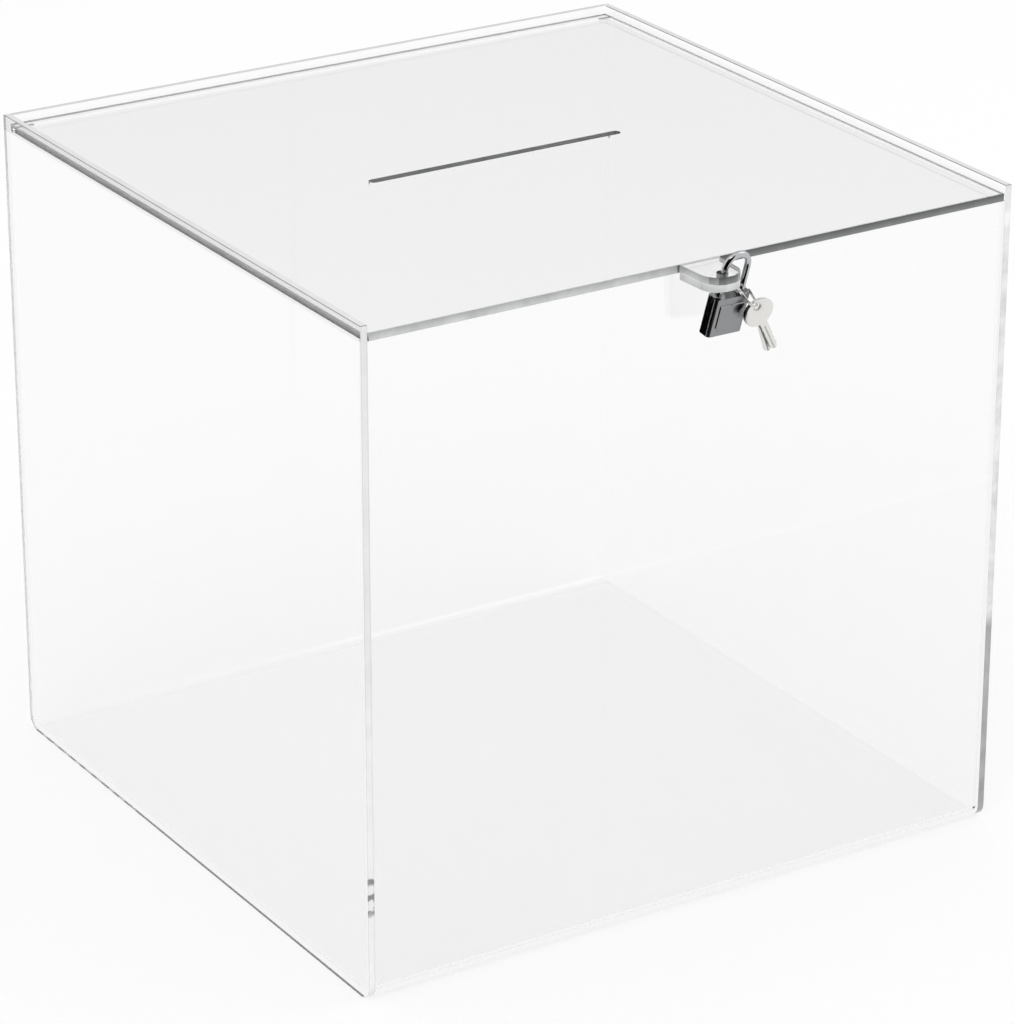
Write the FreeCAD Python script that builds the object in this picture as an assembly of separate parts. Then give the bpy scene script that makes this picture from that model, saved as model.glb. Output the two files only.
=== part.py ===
import FreeCAD, Part
import math
import os

os.makedirs("parts", exist_ok=True)

Vec = FreeCAD.Vector

# Box, all in millimetres: x across, y from front to back, z up from the underside of the base.
WIDTH = 400.0
DEPTH = 390.0
HEIGHT = 375.0
SHEET = 4.0
BEND_OUTER = 8.0
LID_DROP = 4.5

# Lid: gaps to the walls, ballot slot, hinge pins.
LID_SIDE_GAP = 0.8
LID_BACK_GAP = 0.6
SLOT_LENGTH = 160.0
SLOT_WIDTH = 6.0
HINGE_INSET = 6.5
HINGE_PIN_R = 1.0
HINGE_PIN_IN_LID = 8.0
HINGE_PIN_FIT = 0.05
HINGE_END_GAP = 0.3

# Tabs of the lid and of the front wall, in plan view.
TAB_ROOT_HALF = 12.0
TAB_SHOULDER_HALF = 11.0
TAB_SHOULDER_OUT = 17.5
TAB_OUT = 27.5
TAB_HOLE_OUT = 20.5
TAB_HOLE_R = 3.1
TAB_ROOT_FILLET = 1.5

# Padlock, in its own frame: z along the legs, x from the short leg to the long one, z = 0 on the case.
WIRE_R = 1.75
LEG_SPACING = 15.4
SHACKLE_TOP = 25.0
CASE_WIDTH = 23.5
CASE_HEIGHT = 22.0
CASE_DEPTH = 8.0
CASE_CORNER = 2.2
CAP_THICK = 1.6
COLLAR_R = 4.0
COLLAR_HIGH = 1.2
PANEL_RAISE = 0.5
PANEL_SIDE_MARGIN = 3.6
PANEL_TOP = -4.0
PANEL_BOTTOM = -19.4
PANEL_CUT = 2.6
LEG_FIT = 0.06
SHORT_LEG_END = -7.6
SHORT_POCKET_END = -8.2
LONG_LEG_END = -15.0
LONG_POCKET_END = -20.5
LONG_NECK_R = 1.25
LONG_NECK_TOP = -4.6
LONG_FOOT_TOP = -13.8
RETAINER_R = 0.55
RETAINER_Z = -5.3
RETAINER_GAP = 0.12

# Bolt of the padlock: a flat plate moved by a small crank on the plug.
BOLT_TRAVEL = 1.3
BOLT_LOW = -3.4
BOLT_HIGH = -1.8
BOLT_NOSE_X = 1.95
BOLT_TAIL_X = 11.6
BOLT_HALF = 2.2
BOLT_FIT = 0.1
CAVITY_FLOOR = -3.5
NOTCH_LOW = -3.7
NOTCH_HIGH = -1.4
NOTCH_FACE_X = 0.55
CRANK_R = 0.6
CRANK_OUT = 1.3
CRANK_LEAD = 0.3

# Plug, its pins and the chambers beside it.
PLUG_R = 3.0
PLUG_FIT = 0.05
PLUG_TOP = -5.0
PLUG_SHOULDER = -4.9
CRANK_WELL_R = 2.3
KEYWAY_WIDE = 1.6
KEYWAY_HIGH = 4.6
KEYWAY_TOP = -9.4
PIN_HEIGHTS = (-11.0, -14.0, -17.0)
PIN_R = 0.85
CHAMBER_R = 0.9
KEY_PIN_INNER = 1.3
SHEAR_GAP = 0.1
DRIVER_LENGTH = 3.0
CHAMBER_PLUG_LENGTH = 1.5
PIN_SPRING_R = 0.62
PIN_SPRING_WIRE = 0.13
PIN_SPRING_TURNS = 3
CLIP_R = 0.5
CLIP_Z = -20.3
CLIP_GROOVE_R = 2.3
CLIP_GROOVE_HALF = 0.62
SHACKLE_SPRING_R = 1.4
SHACKLE_SPRING_WIRE = 0.25
SHACKLE_SPRING_TURNS = 4
SPRING_END_GAP = 0.1
SPRING_SIDES = 4

# How the padlock hangs: the short leg through the middle of both holes, leaning.
LEAN_FORWARD = 14.0
LEAN_SIDE = 3.5
TURN_SIDE = 7.0
CASE_BELOW_HOLE = 9.6

# Split ring on the long leg, and the keys on it.
RING_R = 7.55
RING_WIRE_R = 0.4
RING_PITCH = 0.84
RING_TURNS = 2
RING_SIDES = 6
RING_CROSSING_Z = 1.7
RING_LEG_GAP = 0.55
RING_SLOPE = 49.6
RING_HEADING = -36.87
KEY_THICK = 1.3
KEY_BOW_HALF_WIDE = 9.0
KEY_BOW_HALF_HIGH = 6.8
KEY_HOLE_R = 2.3
KEY_HOLE_UP = 4.1
KEY_BLADE_WIDE = 4.4
KEY_BLADE_LONG = 17.0
KEY_POINT = 1.6
KEY_CUT_DEEP = 0.9
KEY_CUT_WIDE = 1.6
KEY_SPACING = 1.2
KEY_LEANS = (26.0, 17.0)


def box(x0, x1, y0, y1, z0, z1):
    return Part.makeBox(x1 - x0, y1 - y0, z1 - z0, Vec(x0, y0, z0))


def rod(radius, start, end):
    along = end.sub(start)
    return Part.makeCylinder(radius, along.Length, start, along)


def upright(radius, x, z0, z1):
    return rod(radius, Vec(x, 0, z0), Vec(x, 0, z1))


def one_solid(shape):
    shape = shape.removeSplitter()
    if len(shape.Solids) != 1:
        raise ValueError("a piece came out as %d solids" % len(shape.Solids))
    return shape.Solids[0]


def rounded_block(x0, x1, y0, y1, z0, z1, radius):
    block = box(x0, x1, y0, y1, z0, z1)
    corners = [e for e in block.Edges if abs(e.BoundBox.ZLength - (z1 - z0)) < 1e-6]
    return block.makeFillet(radius, corners)


def wound(radius, wire, pitch, turns, sides):
    # A wire with a many-sided section, wound on a cylinder from z = 0 upward.
    section = []
    for i in range(sides):
        angle = 2 * math.pi * (i + 0.5) / sides
        section.append(Vec(radius + wire * math.cos(angle), 0, wire * math.sin(angle)))
    path = Part.makeHelix(pitch, pitch * turns, radius)
    outline = Part.makePolygon(section + section[:1])
    return Part.Wire(path).makePipeShell([outline], True, True).Solids[0]


def coil(radius, wire, start_z, end_z, turns, x):
    rise = end_z - start_z - 2 * wire
    spring = wound(radius, wire, rise / turns, turns, SPRING_SIDES)
    spring.translate(Vec(x, 0, start_z + wire))
    return spring


def side_profile(front_top, back_top, inset, corner):
    # Outline in the y-z plane, open at the top, from the front edge down round the base and up the back.
    half = DEPTH / 2 - inset
    low = inset
    turn = corner * (1 - math.sqrt(0.5))
    return [
        Part.makeLine(Vec(0, -half, front_top), Vec(0, -half, low + corner)),
        Part.Arc(
            Vec(0, -half, low + corner),
            Vec(0, -half + turn, low + turn),
            Vec(0, -half + corner, low),
        ).toShape(),
        Part.makeLine(Vec(0, -half + corner, low), Vec(0, half - corner, low)),
        Part.Arc(
            Vec(0, half - corner, low),
            Vec(0, half - turn, low + turn),
            Vec(0, half, low + corner),
        ).toShape(),
        Part.makeLine(Vec(0, half, low + corner), Vec(0, half, back_top)),
    ]


def extruded(edges, x0, x1):
    wire = Part.Wire(Part.__sortEdges__(edges))
    face = Part.Face(wire)
    face.translate(Vec(x0, 0, 0))
    return face.extrude(Vec(x1 - x0, 0, 0))


def tab(z0, z1, root_y):
    # Plan outline of a locking tab, from its root just inside the edge to the rounded tip.
    front = -DEPTH / 2
    shoulder = front - TAB_SHOULDER_OUT
    points = [
        Vec(-TAB_SHOULDER_HALF, shoulder, z0),
        Vec(-TAB_ROOT_HALF, front, z0),
        Vec(-TAB_ROOT_HALF, root_y, z0),
        Vec(TAB_ROOT_HALF, root_y, z0),
        Vec(TAB_ROOT_HALF, front, z0),
        Vec(TAB_SHOULDER_HALF, shoulder, z0),
    ]
    points = [p for i, p in enumerate(points) if i == 0 or p.distanceToPoint(points[i - 1]) > 1e-6]
    edges = [Part.makeLine(a, b) for a, b in zip(points, points[1:])]
    tip = Part.Arc(points[-1], Vec(0, front - TAB_OUT, z0), points[0]).toShape()
    face = Part.Face(Part.Wire(edges + [tip]))
    solid = face.extrude(Vec(0, 0, z1 - z0))
    hole = rod(TAB_HOLE_R, Vec(0, front - TAB_HOLE_OUT, z0), Vec(0, front - TAB_HOLE_OUT, z1))
    return solid.cut(hole)


INNER_X = WIDTH / 2 - SHEET
LID_TOP = HEIGHT - LID_DROP
LID_UNDER = LID_TOP - SHEET
LID_HALF = INNER_X - LID_SIDE_GAP
LID_BACK = DEPTH / 2 - SHEET - LID_BACK_GAP
HINGE_Y = DEPTH / 2 - SHEET - HINGE_INSET
HINGE_Z = LID_TOP - SHEET / 2


def body_shell():
    outer = side_profile(LID_UNDER, HEIGHT, 0.0, BEND_OUTER)
    inner = side_profile(LID_UNDER, HEIGHT, SHEET, BEND_OUTER - SHEET)
    half = DEPTH / 2
    ends = [
        Part.makeLine(Vec(0, -half, LID_UNDER), Vec(0, SHEET - half, LID_UNDER)),
        Part.makeLine(Vec(0, half, HEIGHT), Vec(0, half - SHEET, HEIGHT)),
    ]
    return extruded(outer + inner + ends, -INNER_X, INNER_X)


def side_panel(side):
    outline = side_profile(HEIGHT, HEIGHT, 0.0, BEND_OUTER)
    half = DEPTH / 2
    outline.append(Part.makeLine(Vec(0, half, HEIGHT), Vec(0, -half, HEIGHT)))
    near, far = sorted((side * INNER_X, side * WIDTH / 2))
    panel = extruded(outline, near, far)
    return panel.cut(rod(HINGE_PIN_R, Vec(near, HINGE_Y, HINGE_Z), Vec(far, HINGE_Y, HINGE_Z)))


def hinge_pin(side):
    outer = side * WIDTH / 2
    inner = side * (LID_HALF - HINGE_PIN_IN_LID)
    return rod(HINGE_PIN_R, Vec(outer, HINGE_Y, HINGE_Z), Vec(inner, HINGE_Y, HINGE_Z))


def lid():
    front = -DEPTH / 2
    plate = box(-LID_HALF, LID_HALF, front, LID_BACK, LID_UNDER, LID_TOP)
    plate = plate.fuse(tab(LID_UNDER, LID_TOP, front + SHEET)).removeSplitter()
    roots = []
    for edge in plate.Edges:
        box_of = edge.BoundBox
        upright_edge = box_of.XLength < 1e-6 and box_of.YLength < 1e-6
        if upright_edge and abs(abs(box_of.XMin) - TAB_ROOT_HALF) < 1e-6:
            roots.append(edge)
    plate = plate.makeFillet(TAB_ROOT_FILLET, roots)
    reach = SLOT_LENGTH / 2 - SLOT_WIDTH / 2
    slot = box(-reach, reach, -SLOT_WIDTH / 2, SLOT_WIDTH / 2, LID_UNDER, LID_TOP)
    for x in (-reach, reach):
        slot = slot.fuse(rod(SLOT_WIDTH / 2, Vec(x, 0, LID_UNDER), Vec(x, 0, LID_TOP)))
    plate = plate.cut(slot.removeSplitter())
    for side in (-1, 1):
        bore_end = side * (LID_HALF - HINGE_PIN_IN_LID - HINGE_END_GAP)
        start = Vec(side * LID_HALF, HINGE_Y, HINGE_Z)
        end = Vec(bore_end, HINGE_Y, HINGE_Z)
        plate = plate.cut(rod(HINGE_PIN_R + HINGE_PIN_FIT, start, end))
    return one_solid(plate)


def lock_tab():
    return one_solid(tab(LID_UNDER - SHEET, LID_UNDER, -DEPTH / 2))


MID_X = LEG_SPACING / 2
CASE_LEFT = MID_X - CASE_WIDTH / 2
CASE_RIGHT = MID_X + CASE_WIDTH / 2
CASE_HALF = CASE_DEPTH / 2
RETAINER_X = LEG_SPACING - LONG_NECK_R - RETAINER_R - RETAINER_GAP
CLIP_X = MID_X - CLIP_GROOVE_R - CLIP_R - RETAINER_GAP
CHAMBER_INNER_X = MID_X - PLUG_R - PLUG_FIT
POCKET_R = WIRE_R + LEG_FIT


def front_panel():
    # Raised field on the front of the case, its two lower corners cut off.
    left = CASE_LEFT + PANEL_SIDE_MARGIN
    right = CASE_RIGHT - PANEL_SIDE_MARGIN
    corners = [
        Vec(left, -CASE_HALF, PANEL_TOP),
        Vec(right, -CASE_HALF, PANEL_TOP),
        Vec(right, -CASE_HALF, PANEL_BOTTOM + PANEL_CUT),
        Vec(right - PANEL_CUT, -CASE_HALF, PANEL_BOTTOM),
        Vec(left + PANEL_CUT, -CASE_HALF, PANEL_BOTTOM),
        Vec(left, -CASE_HALF, PANEL_BOTTOM + PANEL_CUT),
    ]
    face = Part.Face(Part.makePolygon(corners + corners[:1]))
    field = face.extrude(Vec(0, -PANEL_RAISE, 0))
    front_y = -CASE_HALF - PANEL_RAISE
    rim = [e for e in field.Edges if abs(e.BoundBox.YMin - front_y) < 1e-6 and e.BoundBox.YLength < 1e-6]
    return field.makeChamfer(PANEL_RAISE * 0.6, rim)


def padlock_case():
    block = rounded_block(
        CASE_LEFT, CASE_RIGHT, -CASE_HALF, CASE_HALF, -CASE_HEIGHT, -CAP_THICK, CASE_CORNER
    )
    block = block.fuse(front_panel())
    rooms = [
        upright(POCKET_R, 0, SHORT_POCKET_END, -CAP_THICK),
        upright(POCKET_R, LEG_SPACING, LONG_POCKET_END, -CAP_THICK),
        upright(PLUG_R + PLUG_FIT, MID_X, -CASE_HEIGHT, PLUG_SHOULDER),
        upright(CRANK_WELL_R, MID_X, PLUG_SHOULDER, CAVITY_FLOOR),
        box(
            0,
            BOLT_TAIL_X + BOLT_FIT,
            -BOLT_HALF - BOLT_FIT,
            BOLT_HALF + BOLT_FIT,
            CAVITY_FLOOR,
            -CAP_THICK,
        ),
        rod(RETAINER_R, Vec(RETAINER_X, 0, RETAINER_Z), Vec(RETAINER_X, CASE_HALF, RETAINER_Z)),
        rod(CLIP_R, Vec(CLIP_X, 0, CLIP_Z), Vec(CLIP_X, CASE_HALF, CLIP_Z)),
    ]
    for height in PIN_HEIGHTS:
        rooms.append(rod(CHAMBER_R, Vec(CASE_LEFT, 0, height), Vec(MID_X - PLUG_R / 2, 0, height)))
    for room in rooms:
        block = block.cut(room)
    return one_solid(block)


def case_cap():
    cap = rounded_block(
        CASE_LEFT, CASE_RIGHT, -CASE_HALF, CASE_HALF, -CAP_THICK, 0, CASE_CORNER
    )
    for x in (0, LEG_SPACING):
        collar = upright(COLLAR_R, x, 0, COLLAR_HIGH)
        rim = [e for e in collar.Edges if abs(e.BoundBox.ZMin - COLLAR_HIGH) < 1e-6]
        cap = cap.fuse(collar.makeChamfer(COLLAR_HIGH / 3, rim))
    for x in (0, LEG_SPACING):
        cap = cap.cut(upright(POCKET_R, x, -CAP_THICK, COLLAR_HIGH))
    return one_solid(cap)


def shackle():
    arc_z = SHACKLE_TOP - WIRE_R - LEG_SPACING / 2
    bow = Part.makeTorus(LEG_SPACING / 2, WIRE_R, Vec(MID_X, 0, arc_z), Vec(0, 1, 0))
    over = LEG_SPACING
    bow = bow.common(box(-over, MID_X + over, -over, over, arc_z, arc_z + over))
    short = upright(WIRE_R, 0, SHORT_LEG_END, arc_z)
    long_leg = upright(WIRE_R, LEG_SPACING, LONG_NECK_TOP, arc_z)
    neck = upright(LONG_NECK_R, LEG_SPACING, LONG_FOOT_TOP, LONG_NECK_TOP)
    foot = upright(WIRE_R, LEG_SPACING, LONG_LEG_END, LONG_FOOT_TOP)
    piece = bow.fuse(short).fuse(long_leg).fuse(neck).fuse(foot)
    notch = box(NOTCH_FACE_X, 2 * WIRE_R, -2 * WIRE_R, 2 * WIRE_R, NOTCH_LOW, NOTCH_HIGH)
    return one_solid(piece.cut(notch))


def locking_bolt():
    plate = box(BOLT_NOSE_X, BOLT_TAIL_X - BOLT_TRAVEL, -BOLT_HALF, BOLT_HALF, BOLT_LOW, BOLT_HIGH)
    crank_x = MID_X + CRANK_OUT
    # The slot lets the crank lead the plate a little, as it moves on a circle.
    slot = box(
        crank_x - CRANK_R - BOLT_FIT,
        crank_x + CRANK_R + BOLT_FIT + CRANK_LEAD,
        -CRANK_R - BOLT_FIT,
        CRANK_OUT + CRANK_R + BOLT_FIT,
        BOLT_LOW,
        BOLT_HIGH,
    )
    return one_solid(plate.cut(slot))


def lock_plug():
    barrel = upright(PLUG_R, MID_X, -CASE_HEIGHT, PLUG_TOP)
    crank = rod(CRANK_R, Vec(MID_X + CRANK_OUT, 0, PLUG_TOP), Vec(MID_X + CRANK_OUT, 0, BOLT_HIGH))
    plug = barrel.fuse(crank)
    half = KEYWAY_WIDE / 2
    high = KEYWAY_HIGH / 2
    plug = plug.cut(box(MID_X - half, MID_X + half, -high, high, -CASE_HEIGHT, KEYWAY_TOP))
    for height in PIN_HEIGHTS:
        plug = plug.cut(rod(CHAMBER_R, Vec(MID_X, 0, height), Vec(MID_X, PLUG_R, height)))
    groove = upright(PLUG_R, MID_X, CLIP_Z - CLIP_GROOVE_HALF, CLIP_Z + CLIP_GROOVE_HALF)
    core = upright(CLIP_GROOVE_R, MID_X, CLIP_Z - CLIP_GROOVE_HALF, CLIP_Z + CLIP_GROOVE_HALF)
    return one_solid(plug.cut(groove.cut(core)))


def key_pins():
    pins = []
    for height in PIN_HEIGHTS:
        inner = Vec(MID_X, KEY_PIN_INNER, height)
        outer = Vec(MID_X, PLUG_R - SHEAR_GAP, height)
        pins.append(rod(PIN_R, inner, outer))
    return Part.makeCompound(pins)


def driver_pins():
    pins = []
    for height in PIN_HEIGHTS:
        inner = Vec(CHAMBER_INNER_X - SHEAR_GAP, 0, height)
        outer = Vec(CHAMBER_INNER_X - SHEAR_GAP - DRIVER_LENGTH, 0, height)
        pins.append(rod(PIN_R, inner, outer))
    return Part.makeCompound(pins)


def chamber_plugs():
    plugs = []
    for height in PIN_HEIGHTS:
        outer = Vec(CASE_LEFT, 0, height)
        inner = Vec(CASE_LEFT + CHAMBER_PLUG_LENGTH, 0, height)
        plugs.append(rod(CHAMBER_R, outer, inner))
    return Part.makeCompound(plugs)


def pin_springs():
    springs = []
    outer = CASE_LEFT + CHAMBER_PLUG_LENGTH + SPRING_END_GAP
    inner = CHAMBER_INNER_X - SHEAR_GAP - DRIVER_LENGTH - SPRING_END_GAP
    for height in PIN_HEIGHTS:
        spring = coil(PIN_SPRING_R, PIN_SPRING_WIRE, outer, inner, PIN_SPRING_TURNS, 0)
        spring.rotate(Vec(0, 0, 0), Vec(0, 1, 0), 90)
        spring.translate(Vec(0, 0, height))
        springs.append(spring)
    return Part.makeCompound(springs)


def plug_clip():
    return rod(CLIP_R, Vec(CLIP_X, 0, CLIP_Z), Vec(CLIP_X, CASE_HALF, CLIP_Z))


def shackle_retainer():
    return rod(RETAINER_R, Vec(RETAINER_X, 0, RETAINER_Z), Vec(RETAINER_X, CASE_HALF, RETAINER_Z))


def shackle_spring():
    low = LONG_POCKET_END + SPRING_END_GAP
    high = LONG_LEG_END - SPRING_END_GAP
    return coil(SHACKLE_SPRING_R, SHACKLE_SPRING_WIRE, low, high, SHACKLE_SPRING_TURNS, LEG_SPACING)


def hanging():
    turn = FreeCAD.Rotation(Vec(0, 0, 1), TURN_SIDE)
    side = FreeCAD.Rotation(Vec(0, 1, 0), LEAN_SIDE)
    lean = FreeCAD.Rotation(Vec(1, 0, 0), LEAN_FORWARD)
    rotation = turn.multiply(side).multiply(lean)
    hole = Vec(0, -DEPTH / 2 - TAB_HOLE_OUT, LID_UNDER)
    drop = rotation.multVec(Vec(0, 0, CASE_BELOW_HOLE))
    return FreeCAD.Placement(hole.sub(drop), rotation)


def placed(shape, placement):
    shape.Placement = placement.multiply(shape.Placement)
    return shape


def ring_frame(hang):
    # The ring lies in a plane that falls away from the long leg; the leg passes near its upper end.
    crossing = hang.multVec(Vec(LEG_SPACING, 0, RING_CROSSING_Z))
    heading = math.radians(RING_HEADING)
    slope = math.radians(RING_SLOPE)
    level = Vec(math.cos(heading), math.sin(heading), 0)
    down = level * math.cos(slope) - Vec(0, 0, math.sin(slope))
    across = Vec(-level.y, level.x, 0)
    normal = down.cross(across)
    leg = hang.Rotation.multVec(Vec(0, 0, 1))
    leg_in_plane = WIRE_R / abs(leg.dot(normal))
    offset = RING_R - RING_WIRE_R - leg_in_plane - RING_LEG_GAP
    centre = crossing + down * offset
    return centre, down, across, normal


def key_ring(hang):
    centre, down, across, normal = ring_frame(hang)
    ring = wound(RING_R, RING_WIRE_R, RING_PITCH, RING_TURNS, RING_SIDES)
    ring.translate(Vec(0, 0, -RING_PITCH * RING_TURNS / 2))
    matrix = FreeCAD.Matrix(
        across.x, -down.x, normal.x, centre.x,
        across.y, -down.y, normal.y, centre.y,
        across.z, -down.z, normal.z, centre.z,
        0, 0, 0, 1,
    )
    return placed(ring, FreeCAD.Placement(matrix))


def key(hang, order):
    centre, down, across, normal = ring_frame(hang)
    bow_z = -KEY_HOLE_UP
    half = KEY_THICK / 2
    middle = Vec(0, -half, bow_z)
    oval = Part.Ellipse(middle + Vec(KEY_BOW_HALF_WIDE, 0, 0), middle + Vec(0, 0, KEY_BOW_HALF_HIGH), middle)
    bow = Part.Face(Part.Wire(oval.toShape())).extrude(Vec(0, KEY_THICK, 0))
    blade_top = bow_z - KEY_BOW_HALF_HIGH / 2
    blade_end = bow_z - KEY_BOW_HALF_HIGH - KEY_BLADE_LONG
    wide = KEY_BLADE_WIDE / 2
    outline = [
        Vec(-wide, -half, blade_top),
        Vec(-wide, -half, blade_end + KEY_POINT),
        Vec(-wide + KEY_POINT, -half, blade_end),
        Vec(wide - KEY_POINT, -half, blade_end),
        Vec(wide, -half, blade_end + KEY_POINT),
        Vec(wide, -half, blade_top),
    ]
    blade = Part.Face(Part.makePolygon(outline + outline[:1])).extrude(Vec(0, KEY_THICK, 0))
    piece = bow.fuse(blade)
    piece = piece.cut(rod(KEY_HOLE_R, Vec(0, -half, 0), Vec(0, half, 0)))
    for height in PIN_HEIGHTS:
        # The cuts stand as far from the point as the plug's pins stand from its inner end.
        level = blade_end + KEYWAY_TOP - height
        notch = [
            Vec(wide, -half, level - KEY_CUT_WIDE / 2),
            Vec(wide - KEY_CUT_DEEP, -half, level),
            Vec(wide, -half, level + KEY_CUT_WIDE / 2),
        ]
        cutter = Part.Face(Part.makePolygon(notch + notch[:1])).extrude(Vec(0, KEY_THICK, 0))
        piece = piece.cut(cutter)
    piece.rotate(Vec(0, 0, 0), Vec(0, 1, 0), -KEY_LEANS[order])
    side = -1 if order == 0 else 1
    spread = math.asin(KEY_SPACING / RING_R)
    place = centre + down * (RING_R * math.cos(spread)) + across * (side * RING_R * math.sin(spread))
    piece.translate(place)
    return one_solid(piece)


HANG = hanging()

IN_PLACE = {
    "body_shell": body_shell(),
    "left_panel": side_panel(-1),
    "right_panel": side_panel(1),
    "left_hinge_pin": hinge_pin(-1),
    "right_hinge_pin": hinge_pin(1),
    "lid": lid(),
    "lock_tab": lock_tab(),
    "key_ring": key_ring(HANG),
    "key_1": key(HANG, 0),
    "key_2": key(HANG, 1),
}

PADLOCK = {
    "padlock_case": padlock_case(),
    "case_cap": case_cap(),
    "shackle": shackle(),
    "locking_bolt": locking_bolt(),
    "lock_plug": lock_plug(),
    "key_pins": key_pins(),
    "driver_pins": driver_pins(),
    "chamber_plugs": chamber_plugs(),
    "pin_springs": pin_springs(),
    "plug_clip": plug_clip(),
    "shackle_retainer": shackle_retainer(),
    "shackle_spring": shackle_spring(),
}

for name, shape in IN_PLACE.items():
    shape.exportStep("parts/%s.step" % name)

for name, shape in PADLOCK.items():
    placed(shape, HANG).exportStep("parts/%s.step" % name)
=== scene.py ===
import math

import bmesh
import bpy
from mathutils import Matrix, Vector


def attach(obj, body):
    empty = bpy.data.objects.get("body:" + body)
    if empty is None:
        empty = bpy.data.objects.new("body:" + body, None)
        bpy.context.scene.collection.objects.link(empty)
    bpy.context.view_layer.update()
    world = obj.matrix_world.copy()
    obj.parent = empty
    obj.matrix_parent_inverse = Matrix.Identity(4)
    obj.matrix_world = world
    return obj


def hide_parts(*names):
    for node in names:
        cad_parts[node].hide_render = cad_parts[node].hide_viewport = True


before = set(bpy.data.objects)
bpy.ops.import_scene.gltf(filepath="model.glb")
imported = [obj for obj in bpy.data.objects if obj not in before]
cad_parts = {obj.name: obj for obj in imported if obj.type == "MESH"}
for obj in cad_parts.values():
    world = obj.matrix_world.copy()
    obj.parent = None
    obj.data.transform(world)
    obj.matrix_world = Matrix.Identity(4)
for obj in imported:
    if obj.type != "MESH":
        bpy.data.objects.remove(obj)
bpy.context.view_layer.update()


# Walls and base: clear cast acrylic sheet. One piece is bent hot into front, base and back, and the two
# side panels are glued to its ends, so the glued faces vanish. The front's locking tab is glued on too.
SHEET = 0.004
PANEL_OUT_X = 0.200
PANEL_IN_X = PANEL_OUT_X - SHEET
WALL_Y = 0.195
RIM_Z = 0.375
FRONT_TOP_Z = 0.3663
BEND_OUT_R = 0.008
BEND_IN_R = BEND_OUT_R - SHEET
BEND_STEPS = 10
RIM_CHAMFER = 0.00035
ACRYLIC_IOR = 1.49


def linear(hex_colour):
    channels = [int(hex_colour[i:i + 2], 16) / 255 for i in (1, 3, 5)]
    return tuple(c / 12.92 if c <= 0.04045 else ((c + 0.055) / 1.055) ** 2.4 for c in channels) + (1.0,)


def add_node(tree, kind, settings=None, links=None):
    made = tree.nodes.new(kind)
    for name, value in (settings or {}).items():
        if name in made.inputs.keys():
            made.inputs[name].default_value = value
        else:
            setattr(made, name, value)
    for name, source in (links or {}).items():
        tree.links.new(source, made.inputs[name])
    return made


def new_finish(name):
    finish = bpy.data.materials.new(name)
    finish.use_nodes = True
    finish.node_tree.nodes.clear()
    return finish, finish.node_tree


# Cast acrylic, polished on its faces. It is clear, with light bent as in the real sheet and a trace of grey
# that adds up where sheets lie behind each other. Rays caught in it for many turns pick up a painted pale
# glow, which stands in for the light that the sheet pipes to them.
TURNS_TO_PAINTED_GLOW = 3.5
acrylic, tree = new_finish("cast_acrylic_clear")
path = add_node(tree, "ShaderNodeLightPath")
painted_trapped_glow = add_node(tree, "ShaderNodeMath", {"operation": "GREATER_THAN"}, {0: path.outputs["Glossy Depth"]})
painted_trapped_glow.inputs[1].default_value = TURNS_TO_PAINTED_GLOW
sheet_shader = add_node(tree, "ShaderNodeBsdfPrincipled", {
    "Base Color": linear("#FDFDFD"),
    "Roughness": 0.0,
    "IOR": ACRYLIC_IOR,
    "Transmission Weight": 1.0,
    "Emission Color": linear("#B4B4B4"),
}, {"Emission Strength": painted_trapped_glow.outputs[0]})
add_node(tree, "ShaderNodeOutputMaterial", {}, {"Surface": sheet_shader.outputs[0]})

# Flame polished edge of the same sheet. It is glossy, with faint saw marks left under the polish, and its
# base colour is painted with the light and shade that the sheet pipes to it, ramped from its foot to its
# head. The saw's real marks of under a millimetre are too fine to show, so they are drawn 11 mm apart.
SAW_MARK = 0.0111
MARK_RANGE = (0.3, 0.7)
BORDER_START = 0.0013
BORDER_FULL = 0.0017
RAGGED_GRAIN = 0.00222
RAGGED_SHIFT = 5.0
BROKEN_RANGE = (-0.2, 0.8)


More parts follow.
